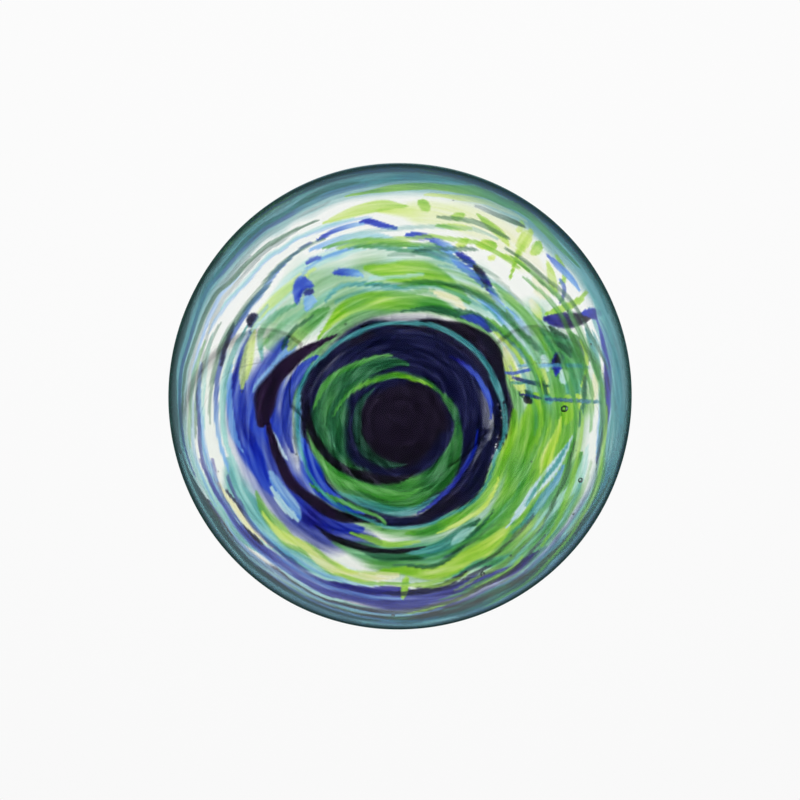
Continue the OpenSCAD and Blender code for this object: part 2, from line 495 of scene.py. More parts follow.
def grain(u, v, seed):
    """Smooth noise from 0 to 1 over a plane."""
    i, j = np.floor(u), np.floor(v)
    fu, fv = u - i, v - j
    fu, fv = fu * fu * (3 - 2 * fu), fv * fv * (3 - 2 * fv)
    low = lattice(i, j, seed) * (1 - fu) + lattice(i + 1, j, seed) * fu
    high = lattice(i, j + 1, seed) * (1 - fu) + lattice(i + 1, j + 1, seed) * fu
    return low * (1 - fv) + high * fv


def spline(points, count):
    """A smooth line through a stroke's places, as count samples of each column."""
    points = np.array(points, float)
    p = np.array([2 * points[0] - points[1], *points, 2 * points[-1] - points[-2]])
    out = []
    for t in np.linspace(0, len(points) - 1, count):
        i = min(int(t), len(points) - 2)
        f = t - i
        a, b, c, d = p[i], p[i + 1], p[i + 2], p[i + 3]
        out.append(0.5 * (2 * b + (c - a) * f + (2 * a - 5 * b + 4 * c - d) * f * f
                          + (3 * b - a - 3 * c + d) * f ** 3))
    return np.array(out)


class Sheet:
    """The layer of colour in the wall, as a fine net of points. Strokes are laid on it one
    after another, each covering the ones before it, as one colour does another in soft glass."""

    def __init__(self):
        self.wall = Wall(SHEET_SHARE)
        belly = self.wall.run[self.wall.belly]
        top = self.wall.run_at_height(COLOUR_TOP)
        runs = np.concatenate([np.arange(0.1 * MM, belly, LOW_STEP), np.arange(belly, top, HIGH_STEP)])
        turns = np.linspace(0, 2 * math.pi, TURNS, endpoint=False)
        self.angle, self.run = np.meshgrid(turns, runs)
        self.radius, self.height = self.wall.radius_height(self.run)
        self.under = self.run <= belly
        self.x, self.y = self.radius * np.cos(self.angle), self.radius * np.sin(self.angle)
        for size, depth, seed in ((9 * MM, 1.4 * MM, 900), (3.4 * MM, 0.3 * MM, 910)):
            self.x, self.y = (self.x + depth * (grain(self.x / size, self.y / size, seed) - 0.5),
                              self.y + depth * (grain(self.x / size, self.y / size, seed + 1) - 0.5))
        self.root = np.ones(self.run.shape + (3,))
        self.amount = np.zeros(self.run.shape)
        self.piece = np.full(self.run.shape, -1)

    def lay(self, stroke, piece, seed):
        near = stroke.near(self)
        if not near.any():
            return
        along, off, k = stroke.offsets(self, near)
        half = stroke.width[k] / 2
        length = stroke.length
        t = np.clip(along / length, 0, 1)
        fibre = grain(off / (0.9 * MM) + 31, along / (11 * MM), seed)
        fine = grain(off / (0.45 * MM), along / (7 * MM) + 9, seed + 5)
        blotch = grain(off / (3.2 * MM), along / (6 * MM), seed + 11)
        wobble = grain(along / (4.5 * MM), np.sign(off) * 3.0 + 7, seed + 3)
        reach = half * stroke.taper(t) * (0.78 + 0.44 * wobble) + 0.12 * MM
        edge = np.clip((1 - np.abs(off) / reach) / stroke.soft, 0, 1)
        edge = edge * edge * (3 - 2 * edge)
        ends = np.clip((length - np.abs(2 * along - length)) / (0.5 * MM), 0, 1)
        ends = np.ones_like(ends) if stroke.closed else ends
        thin = 1 - stroke.ragged * (0.65 * fibre + 0.35 * fine)
        share = stroke.amount * ends * np.clip(edge * (thin + 0.3 * edge), 0, 1)
        mix = np.clip(t + 0.9 * (blotch - 0.5), 0, 1)[:, None]
        colour = stroke.colours[0] * (1 - mix) + stroke.colours[1] * mix
        spread = np.clip(1.6 * colour.max(axis=1), 0.3, 1)
        colour = colour ** (1 + spread * (0.9 * (0.4 * fine + 0.6 * fibre) ** 1.3 - 0.45))[:, None]
        self.root[near] += (colour - self.root[near]) * share[:, None]
        self.amount[near] += (1 - self.amount[near]) * share
        takes = (share > 0.35) | ((share > 0.04) & (self.piece[near] < 0))
        owners = self.piece[near]
        owners[takes] = piece
        self.piece[near] = owners


def swell(width, places):
    """The places of a stroke that is widest in its middle, each with its own width."""
    last = len(places) - 1
    shares = [math.sqrt(abs(math.sin(math.pi * k / last))) for k in range(last + 1)]
    return [(a, r, width * (TIP_WIDTH + (1 - TIP_WIDTH) * share))
            for (a, r), share in zip(places, shares)]


class Stroke:
    """A drawn-out streak of colour. places are (angle, radius share, width share) under the
    belly, or (angle, height in mm, width in mm) where it climbs the wall."""

    def __init__(self, colours, amount, places, climbs=False, soft=0.4, ragged=0.4):
        self.amount, self.climbs, self.soft, self.ragged = amount, climbs, soft, ragged
        if not isinstance(places[0], tuple):
            places = swell(places[0], places[1:])
        names = colours.split()
        self.colours = [np.sqrt(COLOURS[name]) for name in (names[0], names[-1])]
        self.closed = abs(places[-1][0] - places[0][0]) >= 359
        self.wall = Wall(SHEET_SHARE)
        rough = self.trace(places, 40)
        count = max(8, int(rough[-1][-1] / PATH_STEP))
        self.u, self.v, self.width, self.scale, self.along = self.trace(places, count)
        self.length = self.along[-1]
        du, dv = np.gradient(self.u) * self.scale, np.gradient(self.v)
        size = np.hypot(du, dv) + 1e-12
        self.du, self.dv = du / size, dv / size

    def trace(self, places, count):
        """The middle line as (u, v), in plan under the belly, or as (angle, run) on the wall."""
        samples = spline(places, count)
        angle, width = np.radians(samples[:, 0]), np.maximum(samples[:, 2], 0)
        if self.climbs:
            v = self.wall.run_at_height(samples[:, 1] * MM)
            scale = self.wall.radius_height(v)[0]
            u, width = angle, width * MM
        else:
            r = samples[:, 1] * BODY_R
            u, v, scale, width = r * np.cos(angle), r * np.sin(angle), np.ones(count), width * BODY_R
        legs = np.hypot(np.diff(u) * scale[1:], np.diff(v))
        along = np.concatenate([[0], np.cumsum(legs)])
        return u, v, np.maximum(width, THIN_HIGH if self.climbs else THIN_LOW), scale, along

    def near(self, sheet):
        reach = self.width.max() * 0.75 + 0.5 * MM
        if self.climbs:
            return (sheet.run > self.v.min() - reach) & (sheet.run < self.v.max() + reach)
        low = (sheet.x > self.u.min() - reach) & (sheet.y > self.v.min() - reach)
        high = (sheet.x < self.u.max() + reach) & (sheet.y < self.v.max() + reach)
        radii = np.hypot(self.u, self.v)
        ring = (sheet.radius > radii.min() - reach) & (sheet.radius < radii.max() + reach)
        return low & high & ring & sheet.under

    def offsets(self, sheet, near):
        """For each point near: its place along the middle line, its distance to one side, and
        which sample of the line is nearest."""
        if self.climbs:
            p, q = sheet.angle[near], sheet.run[near]
        else:
            p, q = sheet.x[near], sheet.y[near]
        best = np.zeros(len(p), int)
        for start in range(0, len(p), 20000):
            part = slice(start, start + 20000)
            du, dv = self.apart(p[part][:, None], q[part][:, None], slice(None))
            best[part] = (du * du + dv * dv).argmin(axis=1)
        du, dv = self.apart(p, q, best)
        along = self.along[best] + du * self.du[best] + dv * self.dv[best]
        return along, dv * self.du[best] - du * self.dv[best], best

    def apart(self, p, q, k):
        du = p - self.u[k]
        if self.climbs:
            du = (du + math.pi) % (2 * math.pi) - math.pi
        return du * self.scale[k], q - self.v[k]

    def taper(self, t):
        if self.closed:
            return np.ones_like(t)
        return 0.08 + 0.92 * np.sqrt(np.clip(np.minimum(t, 1 - t) * 5, 0, 1))


def tidy_owners(owner, shape):
    """Gives a face that stands alone to the piece round it, so that edges run clean."""
    owner = owner.reshape(shape)
    for _ in range(3):
        sides = [np.roll(owner, 1, axis=1), np.roll(owner, -1, axis=1),
                 np.vstack([owner[:1], owner[:-1]]), np.vstack([owner[1:], owner[-1:]])]
        alone = sum(side == owner for side in sides) < 2
        a, b, c, d = sides
        choice = np.where((a == c) | (a == d) | (a == b), a, np.where(c == d, c, b))
        owner = np.where(alone, choice, owner)
    return owner.ravel()


def build_pieces(sheet, names, materials, seam):
    """Cuts the sheet into one closed thin piece of glass for each piece of the vase."""
    index = np.arange(sheet.run.size).reshape(sheet.run.shape)
    right = np.roll(index, -1, axis=1)
    corners = np.stack([index[:-1], index[1:], right[1:], right[:-1]], axis=-1).reshape(-1, 4)
    amount, piece = sheet.amount.ravel()[corners], sheet.piece.ravel()[corners]
    owner = piece[np.arange(len(corners)), amount.argmax(axis=1)]
    owner[amount.max(axis=1) < FAINTEST] = -1
    owner = tidy_owners(owner, (sheet.run.shape[0] - 1, sheet.run.shape[1]))
    wander = 0.5 * MM * (grain(sheet.x / (9 * MM), sheet.y / (9 * MM), 77) - 0.5)
    front = sheet.wall.place(sheet.angle, sheet.run, wander + SHEET_THICK / 2).reshape(-1, 3)
    back = sheet.wall.place(sheet.angle, sheet.run, wander - SHEET_THICK / 2).reshape(-1, 3)
    swirl = sheet.run / (1.1 * MM) + 1.4 * np.sin(sheet.angle * 2 + sheet.run / (9 * MM))
    flow = np.stack([2.2 * np.cos(sheet.angle), 2.2 * np.sin(sheet.angle), swirl], axis=-1).reshape(-1, 3)
    root = sheet.root.reshape(-1, 3)
    pieces = {}
    for k, name in enumerate(names):
        mine = corners[owner == k]
        used, flat = np.unique(mine, return_inverse=True)
        quads = flat.reshape(-1, 4)
        n = len(used)
        sides = np.concatenate([quads[:, [i, (i + 1) % 4]] for i in range(4)])
        there = set(map(tuple, sides[:, ::-1].tolist()))
        rim = [(a, b) for a, b in sides.tolist() if (a, b) not in there]
        walls = [(b, a, a + n, b + n) for a, b in rim if used[a] >= TURNS or used[b] >= TURNS]
        faces = quads.tolist() + (quads[:, ::-1] + n).tolist() + walls
        middle = [int(i) for i in np.nonzero(used < TURNS)[0]]
        if len(middle) == TURNS:
            faces += [middle[::-1], [i + n for i in middle]]
        obj = make_object(name + "_glass", np.vstack([front[used], back[used]]), faces)
        face_outward(obj)
        for key, kind, field, values in (("tint", "FLOAT_COLOR", "color", root),
                                         ("flow", "FLOAT_VECTOR", "vector", flow)):
            values = np.vstack([values[used]] * 2)
            if kind == "FLOAT_COLOR":
                values = np.hstack([values, np.ones((len(values), 1))])
            made = obj.data.attributes.new(key, kind, "POINT")
            made.data.foreach_set(field, values.astype("f").ravel())
        obj.data.materials.append(materials[name])
        obj.data.materials.append(seam)
        slots = np.zeros(len(faces), int)
        slots[2 * len(quads):2 * len(quads) + len(walls)] = 1
        obj.data.polygons.foreach_set("material_index", slots)
        pieces[name] = obj
    return pieces


# Short names for the pieces, which the lists of strokes use.
CORE, GREEN_RING, NAVY_RING, BLADE = "purple_core", "lime_ring", "navy_ring", "maroon_blade"
COBALT, TEAL, LIME, FRIT = "cobalt_swirl", "teal_swirl", "lime_swirl", "yellow_frit"
SHARDS, THREAD = "blue_shards", "navy_threads"
# The strokes under the belly, in the order they were laid: a piece, its colour, how dense it
# is, and its places as (angle, radius share, width share), seen from below, 0 to the right. Most
# give one width for the whole stroke, and then places as (angle, radius share).
VEILS = [
    (TEAL, "aqua leaf", .6, (40, .58, .24), (60, .58, .24), (90, .6, .28), (120, .6, .3), (150, .6, .24)),
    (COBALT, "cobalt violet", .95, (140, .56, .14), (165, .56, .24), (190, .56, .3), (215, .54, .28),
     (240, .52, .24), (262, .5, .14)),
    (TEAL, "teal aqua", .75, (192, .7, .1), (215, .7, .14), (240, .68, .14), (262, .66, .12)),
    (TEAL, "leaf teal", .9, (240, .56, .1), (265, .56, .24), (290, .58, .3), (320, .6, .34),
     (345, .6, .34), (370, .62, .32), (392, .66, .22)),
    (LIME, "leaf aqua", .75, (350, .6, .2), (370, .62, .3), (390, .64, .28), (410, .62, .18)),
    (TEAL, "teal", .5, (0, .89, .1), (90, .9, .1), (180, .89, .12), (270, .87, .14), (360, .89, .1)),
    (THREAD, "navy violet", .9, (205, .82, .08), (240, .8, .12), (275, .79, .12), (310, .8, .12),
     (345, .83, .1), (368, .86, .06)),
    (THREAD, "navy violet", .95, (186, .91, .04), (212, .89, .09), (245, .88, .1), (275, .88, .09),
     (305, .885, .1), (335, .9, .09), (358, .92, .05)),
    (TEAL, "teal smoke", .75, (300, .8, .06), (322, .81, .1), (342, .83, .12), (362, .86, .1),
     (384, .88, .06)),
    (FRIT, "yellow cream", .6, (96, .82, .06), (78, .81, .12), (60, .8, .16), (46, .79, .1),
     (38, .76, .04)),
    (LIME, "lime leaf", .75, (330, .62, .14), (350, .64, .18), (372, .67, .2), (394, .66, .1)),
    (TEAL, "leaf", .8, (0, .46, .1), (60, .5, .08), (120, .47, .08), (180, .42, .08), (240, .42, .1),
     (300, .44, .12), (360, .46, .1)),
]
UNDER = [
    # the dark middle
    (NAVY_RING, "navy", 1.0, (0, .16, .58), (120, .16, .58), (240, .16, .58), (360, .16, .58)),
    (CORE, "black", 1.0, (0, .08, .27), (120, .08, .27), (240, .08, .27), (360, .08, .27)),
    (GREEN_RING, "forest leaf", .9, (80, .25, .05), (110, .27, .09), (145, .29, .13), (180, .3, .16),
     (230, .31, .16), (280, .29, .14), (330, .26, .1), (365, .24, .05)),
    (GREEN_RING, "forest leaf", .8, .025, (350, .25), (368, .24), (386, .225), (402, .212)),
    (GREEN_RING, "forest", .6, .047, (120, .19), (180, .19), (240, .18), (280, .17)),
    (GREEN_RING, "leaf forest", .85, (30, .215, .012), (60, .21, .018), (90, .215, .02), (120, .225, .025),
     (145, .25, .035), (165, .275, .05), (180, .285, .06), (195, .28, .05), (210, .26, .02)),
    (GREEN_RING, "lime leaf", .75, (48, .21, .008), (70, .206, .01), (90, .214, .011), (125, .225, .012),
     (150, .245, .014), (172, .28, .012)),
    (GREEN_RING, "leaf", .85, .025, (95, .29), (120, .315), (140, .335), (160, .35), (170, .36)),
    (GREEN_RING, "leaf", .85, .057, (168, .41), (185, .39), (205, .365), (225, .335), (245, .305),
     (270, .295), (290, .275)),
    (GREEN_RING, "black", .95, .041, (160, .395), (172, .385), (195, .345), (212, .305), (230, .27),
     (250, .25), (270, .23), (295, .21)),
    (TEAL, "teal", .7, .042, (225, .385), (250, .365), (275, .36), (300, .34)),
    # the navy ring
    (NAVY_RING, "navy", .95, (140, .42, .03), (120, .41, .08), (100, .385, .14), (80, .37, .18),
     (60, .38, .2), (40, .4, .2), (20, .38, .13)),
    (NAVY_RING, "black navy", 1.0, (112, .44, .04), (90, .42, .07), (70, .43, .09), (50, .47, .11),
     (38, .47, .1), (24, .44, .07), (10, .415, .05), (350, .4, .045), (335, .39, .05)),
    (NAVY_RING, "navy black", 1.0, (-10, .385, .09), (-30, .38, .09), (-45, .375, .08), (-60, .38, .06),
     (-75, .4, .04), (-92, .425, .03)),
    (NAVY_RING, "deep cobalt", .9, .023, (54, .352), (42, .362), (30, .375), (15, .382), (3, .372)),
    (NAVY_RING, "cobalt deep", .9, .019, (358, .325), (346, .325), (334, .325), (322, .325), (308, .34),
     (292, .365), (280, .375)),
    # green above the ring
    (LIME, "lime leaf", .95, (133, .49, .02), (120, .52, .06), (105, .53, .09), (90, .515, .09),
     (76, .505, .06), (62, .505, .04)),
    (TEAL, "forest", .9, .03, (90, .475), (76, .485), (64, .5), (54, .525), (46, .54)),
    (LIME, "lime leaf", .9, (103, .64, .03), (95, .625, .07), (86, .61, .09), (77, .6, .07),
     (68, .575, .05), (60, .56, .02)),
    (LIME, "leaf forest", .75, (98, .575, .012), (86, .575, .02), (74, .585, .016), (62, .6, .02),
     (50, .61, .025), (38, .61, .025), (28, .62, .03)),
    (FRIT, "cream", .9, .034, (79, .56), (73, .55), (66, .545), (60, .53)),
    # left cobalt
    (COBALT, "cobalt violet", .95, .059, (138, .44), (150, .455), (165, .465), (180, .47), (195, .46)),
    (COBALT, "cobalt", .95, (186, .41, .04), (200, .41, .08), (215, .42, .09), (232, .42, .06),
     (250, .405, .03)),
    (COBALT, "sky", .8, .032, (160, .425), (175, .425), (190, .425), (200, .44)),
    (COBALT, "violet cobalt", 1.0, (147, .69, .012), (158, .665, .035), (168, .65, .06), (178, .645, .09),
     (188, .63, .1), (200, .61, .08), (212, .585, .05)),
    (COBALT, "deep cobalt", 1.0, (205, .53, .05), (215, .535, .09), (226, .53, .1), (238, .5, .08),
     (252, .47, .04)),
    (COBALT, "sky", .85, .053, (140, .53), (148, .54), (157, .555), (168, .6)),
    (COBALT, "pale", .8, .032, (181, .535), (188, .52), (198, .49)),
    (COBALT, "sky", .8, .063, (200, .575), (208, .565), (216, .56), (224, .57)),
    (COBALT, "pale", .9, .032, (206, .59), (215, .585), (224, .58)),
    (COBALT, "sky", .75, .026, (160, .69), (172, .675), (184, .66), (192, .65)),
    # the blade and the arc it runs out in
    (BLADE, "maroon", 1.0, (124, .455, .015), (135, .475, .035), (146, .5, .055), (158, .53, .075),
     (168, .55, .09), (175, .56, .09), (181, .565, .05)),
    (BLADE, "maroon black", 1.0, .05, (174, .55), (186, .535), (198, .525), (210, .505), (222, .48),
     (234, .465), (246, .44), (259, .42)),
    # lower left
    (TEAL, "teal aqua", .85, (196, .7, .03), (208, .69, .07), (220, .68, .09), (232, .67, .09),
     (244, .67, .06), (256, .66, .04)),
    (LIME, "leaf yellow", .85, .058, (206, .64), (216, .655), (226, .65), (236, .635), (246, .65),
     (256, .64)),
    (FRIT, "yellow cream", .85, (213, .66, .015), (222, .66, .03), (232, .635, .035), (242, .65, .03),
     (250, .66, .03), (260, .645, .05), (269, .64, .06)),
    (THREAD, "black", .95, .033, (230, .545), (242, .55), (255, .545), (268, .535), (282, .52)),
    (TEAL, "forest", .85, .042, (254, .56), (268, .565), (282, .55), (296, .52)),
    (LIME, "lime", .8, .032, (245, .5), (256, .5), (268, .5), (280, .49)),
    (GREEN_RING, "leaf", .9, (212, .45, .012), (228, .415, .02), (243, .4, .02), (256, .4, .02),
     (262, .42, .03)),
    # bottom and right, outside the ring
    (LIME, "lime yellow", .9, (262, .62, .02), (275, .62, .06), (290, .62, .07), (305, .62, .09),
     (318, .6, .1)),
    (LIME, "leaf lime", .9, (272, .45, .03), (288, .455, .045), (303, .46, .05), (318, .46, .05),
     (333, .46, .05), (350, .455, .05), (368, .46, .05)),
    (LIME, "leaf lime", .9, (296, .55, .05), (312, .56, .12), (328, .55, .15), (345, .54, .16),
     (362, .54, .15), (374, .56, .1)),
    (TEAL, "teal forest", .8, .063, (272, .545), (286, .54), (298, .52), (310, .51)),
    (TEAL, "aqua", .7, .053, (292, .55), (299, .535), (306, .53)),
    (TEAL, "forest", .9, .019, (266, .595), (280, .6), (292, .585), (303, .55), (313, .53), (318, .525)),
    (TEAL, "teal", .8, .021, (345, .43), (0, .425), (12, .43)),
    (LIME, "yellow", .85, .021, (288, .475), (303, .475), (318, .475), (332, .465)),
    (LIME, "leaf yellow", .85, .055, (292, .66), (306, .67), (320, .66), (335, .64), (350, .62),
     (362, .63)),
    (TEAL, "teal leaf", .8, (284, .655, .012), (298, .665, .03), (310, .72, .07), (324, .73, .1),
     (338, .72, .1), (350, .73, .06)),
    (TEAL, "aqua", .7, .042, (315, .7), (328, .7), (340, .74), (352, .75)),
    (COBALT, "teal sky", .75, .032, (314, .645), (326, .65), (338, .67), (346, .68)),
    (COBALT, "pale", 1.0, (356, .69, .012), (349, .665, .035), (342, .645, .05), (336, .625, .045),
     (329, .61, .03), (322, .61, .02), (314, .615, .012)),
    (THREAD, "teal", .8, .007, (353, .675), (344, .65), (336, .625), (326, .615)),
    # right edge
    (COBALT, "teal sky", .6, .056, (30, .84), (20, .85), (8, .84), (-4, .82), (-16, .8)),
    (COBALT, "cobalt deep", .95, (29, .85, .01), (23, .857, .03), (16, .84, .045), (10, .815, .04),
     (3, .805, .03), (-6, .8, .02), (-14, .79, .01)),
    (COBALT, "sky", .75, .026, (14, .785), (7, .785), (-3, .785), (-12, .79)),
    (LIME, "leaf teal", .9, (36, .655, .02), (30, .675, .05), (24, .7, .1), (17, .71, .1), (10, .69, .07),
     (4, .67, .03)),
    (LIME, "leaf forest", .8, .047, (28, .74), (24, .75), (20, .755), (16, .76)),
    (TEAL, "teal leaf", .75, .034, (26, .8), (21, .8), (15, .785), (10, .775)),
    (LIME, "lime yellow", .85, .011, (24, .765), (20, .765), (15, .745), (10, .715)),
    (LIME, "lime", .85, .063, (10, .66), (6, .665), (2, .66), (-2, .645)),
    (FRIT, "yellow", .8, .026, (9, .7), (6, .7), (3, .695)),
    (THREAD, "forest teal", .8, .012, (14, .735), (9, .725), (3, .71), (-3, .7)),
    (SHARDS, "deep black", 1.0, .056, (36.5, .69), (34, .715), (31.5, .742), (29.4, .775), (28, .81),
     (27.2, .84)),
    (SHARDS, "cobalt deep", 1.0, .039, (30, .8), (28, .84), (26.5, .865), (25.5, .88)),
    (LIME, "lime", .95, .025, (37, .7), (35.4, .735), (33.8, .775), (33, .82), (33, .87)),
    (THREAD, "forest", .8, .013, (33.5, .69), (31, .7), (28.5, .715), (26.5, .73)),
    (COBALT, "pale aqua", .9, .042, (19.4, .668), (17, .675), (14.8, .672), (13.6, .665)),
    (SHARDS, "deep cobalt", 1.0, (25, .672, .015), (23.4, .671, .04), (21, .666, .05), (18.8, .655, .02),
     (17.4, .645, .008)),
    (SHARDS, "black", .8, .023, (24, .675), (22.4, .668), (21, .66)),
    (THREAD, "forest", .9, .02, (30, .67), (26.5, .69), (23, .71), (20.5, .715)),
    (TEAL, "pale aqua", .85, .029, (27, .625), (23.5, .627), (20, .628)),
    (LIME, "yellow", .8, .017, (25, .605), (19, .612), (12, .605)),
    (THREAD, "forest", .85, .037, (21, .585), (16, .592), (11, .6)),
    (TEAL, "deep forest", .9, .047, (16.5, .495), (14, .522), (12, .552)),
    (THREAD, "black", .9, .032, (13, .512), (10.6, .527), (8.8, .536)),
    (TEAL, "teal", .8, .037, (12.6, .585), (9.6, .597), (6.8, .6)),
    (FRIT, "cream yellow", .85, .052, (39, .527), (32, .512), (25, .503), (18, .51), (13, .515)),
    (THREAD, "smoke", .7, .017, (30, .505), (25, .5), (20, .502)),
    (THREAD, "cobalt", .8, .007, (27.5, .47), (25.5, .505), (24, .56), (23, .602)),
    (THREAD, "teal", .7, .013, (22, .475), (20, .51), (19, .55)),
    (FRIT, "cream", 1.0, .023, (13, .763), (9.5, .762), (5, .753), (1, .748)),
    (THREAD, "deep teal", .85, .016, (15, .5), (11, .57), (8, .65), (5, .73), (3, .8)),
    (COBALT, "sky teal", .8, .014, (28, .53), (24, .6), (20, .68), (15, .76)),
    (THREAD, "deep forest", .8, .015, (24, .49), (18, .56), (15, .62)),
    # the arcs that run from the top round to the right
    (TEAL, "forest teal", .85, .026, (66, .52), (57, .53), (48, .54), (38, .56), (28, .575), (18, .585)),
    (LIME, "leaf lime", .85, .02, (52, .55), (42, .565), (32, .58), (22, .59), (12, .59)),
    (LIME, "yellow lime", .8, (46, .535, .008), (36, .548, .014), (27, .553, .012)),
    (TEAL, "teal aqua", .8, .026, (62, .582), (52, .585), (42, .585), (32, .593), (22, .608)),
    (COBALT, "sky pale", .9, .021, (59, .582), (50, .59), (41, .587), (33, .59)),
    (LIME, "leaf lime", .8, .03, (58, .65), (50, .655), (42, .655), (34, .65), (27, .645)),
    (FRIT, "cream yellow", .7, .032, (44, .7), (40, .69), (36, .68)),
    (NAVY_RING, "cobalt navy", .95, .034, (62, .5), (57, .515), (52, .525), (46, .525)),
    # the blue chain across the top
    (COBALT, "sky aqua", .75, .039, (118, .745), (108, .745), (98, .735), (90, .72)),
    (LIME, "leaf lime", .75, .02, (114, .735), (104, .732), (94, .72), (84, .7), (76, .68)),
    (TEAL, "leaf teal", .7, .013, (104, .715), (94, .7), (84, .68), (75, .655)),
    (TEAL, "teal sky", .7, .032, (88, .7), (80, .69), (74, .67), (68, .655)),
    (THREAD, "cobalt deep", .95, .023, (89, .737), (86, .737), (82, .73), (79.5, .722)),
    (COBALT, "cobalt sky", .95, .032, (81.5, .72), (78, .714), (74, .702), (71, .693)),
    (THREAD, "deep cobalt", .95, .025, (72.5, .695), (69.5, .687), (66.5, .677), (64, .668)),
    (THREAD, "black deep", 1.0, .032, (66, .675), (63, .662), (60, .649), (57, .634), (54.5, .626)),
    (COBALT, "sky cobalt", .95, .024, (76, .69), (72.5, .672), (68, .656), (63.5, .643), (59, .628)),
    (COBALT, "cobalt sky", .95, .026, (58, .634), (54.5, .627), (50.5, .62), (47, .615)),
    (COBALT, "sky pale", .9, .021, (48.5, .628), (44, .627), (39, .624), (34.5, .626)),
    (SHARDS, "cobalt", .95, .022, (101, .79), (98, .79), (95, .775), (91, .76)),
    (COBALT, "cobalt sky", .85, .015, (115, .77), (110, .782), (105, .785), (99, .785)),
    # the thin blue circle round the left
    (COBALT, "sky violet", .85, .019, (198, .71), (185, .715), (172, .725), (160, .73), (150, .735),
     (138, .745), (126, .76), (116, .77)),
    (TEAL, "aqua teal", .75, .021, (196, .69), (182, .695), (168, .7), (156, .7), (146, .71)),
    (THREAD, "navy", .85, .008, (149, .75), (155, .735), (163, .725)),
    # pale veils in the upper left window
    (TEAL, "aqua", .6, .049, (150, .68), (140, .69), (128, .7), (114, .7), (100, .7)),
    (LIME, "yellow", .6, .032, (148, .69), (138, .7), (128, .69), (118, .68)),
    (TEAL, "leaf aqua", .7, .028, (152, .63), (143, .62), (134, .61), (124, .6), (112, .6)),
    (LIME, "yellow leaf", .75, .063, (146, .54), (138, .55), (129, .56), (121, .56)),
    (THREAD, "forest", .75, .008, (147, .56), (138, .575), (128, .57)),
    (TEAL, "teal leaf", .7, .026, (155, .6), (146, .655), (138, .66), (130, .64)),
    (LIME, "yellow", .7, .037, (168, .635), (160, .645), (153, .66), (146, .68)),
    (THREAD, "teal", .8, .013, (122, .585), (112, .6), (101, .585), (90, .57)),
    (SHARDS, "cobalt", .95, .047, (131, .64), (128, .665), (125, .67), (122, .64)),
    (COBALT, "sky", .9, .053, (130, .6), (126.5, .62), (124, .6)),
    (SHARDS, "deep", .8, .021, (127, .645), (125, .64), (123, .63)),
    (COBALT, "cobalt sky", .9, .029, (114, .645), (110, .64), (106, .63), (103, .615)),
    (COBALT, "cobalt", .7, .017, (121, .71), (118, .71), (115, .705)),
    (SHARDS, "navy", .95, .037, (147, .7), (144.5, .71), (142, .705)),
    # the upper right window
    (LIME, "lime", .8, .037, (85.5, .845), (83.5, .832), (82, .815)),
    (LIME, "lime", .8, .029, (76, .805), (74, .81), (72, .82)),
    (FRIT, "yellow lime", .85, .032, (73, .715), (71, .73), (69.4, .745)),
    (LIME, "lime yellow", .75, .021, (80, .77), (74, .775), (69, .78)),
    (LIME, "lime yellow", .75, .029, (69, .83), (65, .815), (60, .8), (57, .785)),
    (LIME, "yellow lime", .8, .032, (58, .84), (57, .86), (58, .885)),
    (LIME, "lime", .8, .017, (45, .88), (42, .86), (40, .83), (40, .8)),
    (FRIT, "yellow lime", .85, .037, (67, .73), (65, .745), (62.6, .755), (60.6, .765)),
    (FRIT, "yellow", .8, .025, (62.5, .712), (61, .722), (59.6, .73)),
    (LIME, "lime yellow", .9, (52.2, .7, .008), (52.7, .735, .014), (53.6, .775, .024), (54, .82, .06),
     (54, .86, .06), (54, .885, .02)),
    (LIME, "yellow lime", .85, .053, (50.5, .81), (50, .845), (50, .875)),
    (LIME, "yellow lime", .8, .016, (59, .745), (56, .755), (52, .765), (48, .765)),
    (FRIT, "yellow lime", .7, .032, (46, .84), (43.5, .815), (41, .79), (38.5, .765)),
    (FRIT, "cream", .7, .063, (47, .76), (43, .75), (39, .74)),
    (LIME, "yellow lime", .8, .037, (112, .82), (102, .83), (94, .835), (88, .83)),
    (LIME, "lime leaf", .85, .026, (104, .885), (90, .888), (78, .898), (66, .908), (56, .912), (46, .91),
     (38, .9)),
    (LIME, "yellow cream", .7, .021, (84, .865), (74, .875), (64, .885), (56, .89)),
    (THREAD, "smoke forest", .8, .015, (70.5, .858), (66, .856), (61, .861), (56, .87)),
    (COBALT, "cobalt sky", .9, .025, (47, .856), (43, .853), (38.5, .848), (34.5, .842)),
    (COBALT, "sky violet", .8, .015, (41, .82), (38.5, .805), (36.8, .78), (36.2, .755)),
    # the bands at the rim
    (TEAL, "teal smoke", .85, (24, .9, .02), (44, .935, .03), (66, .945, .035), (90, .935, .035),
     (120, .925, .035), (150, .915, .04), (170, .905, .04)),
    (COBALT, "teal violet", .75, .017, (56, .935), (74, .925), (92, .915), (110, .905), (128, .897),
     (146, .885), (162, .87), (180, .86), (198, .83)),
    (TEAL, "aqua smoke", .7, .011, (84, .952), (104, .94), (124, .93), (142, .915), (158, .9)),
    (THREAD, "forest teal", .85, .006, (100, .925), (118, .915), (136, .905), (152, .89)),
    (THREAD, "forest black", .9, (140, .935, .012), (155, .925, .035), (168, .91, .045), (180, .895, .05),
     (192, .88, .05)),
    (TEAL, "smoke aqua", .6, (108, .885, .008), (125, .873, .014), (145, .858, .014), (165, .845, .014),
     (185, .835, .014)),
    (THREAD, "smoke", .5, .006, (134, .855), (150, .84), (168, .83), (184, .81)),
    (THREAD, "smoke", .6, .01, (118, .83), (140, .825), (165, .8), (185, .78), (200, .76)),
    (TEAL, "aqua teal", .8, .042, (186, .83), (200, .8), (213, .78), (225, .76)),
    (COBALT, "cobalt violet", .85, .032, (196, .775), (206, .765), (216, .75), (226, .735)),
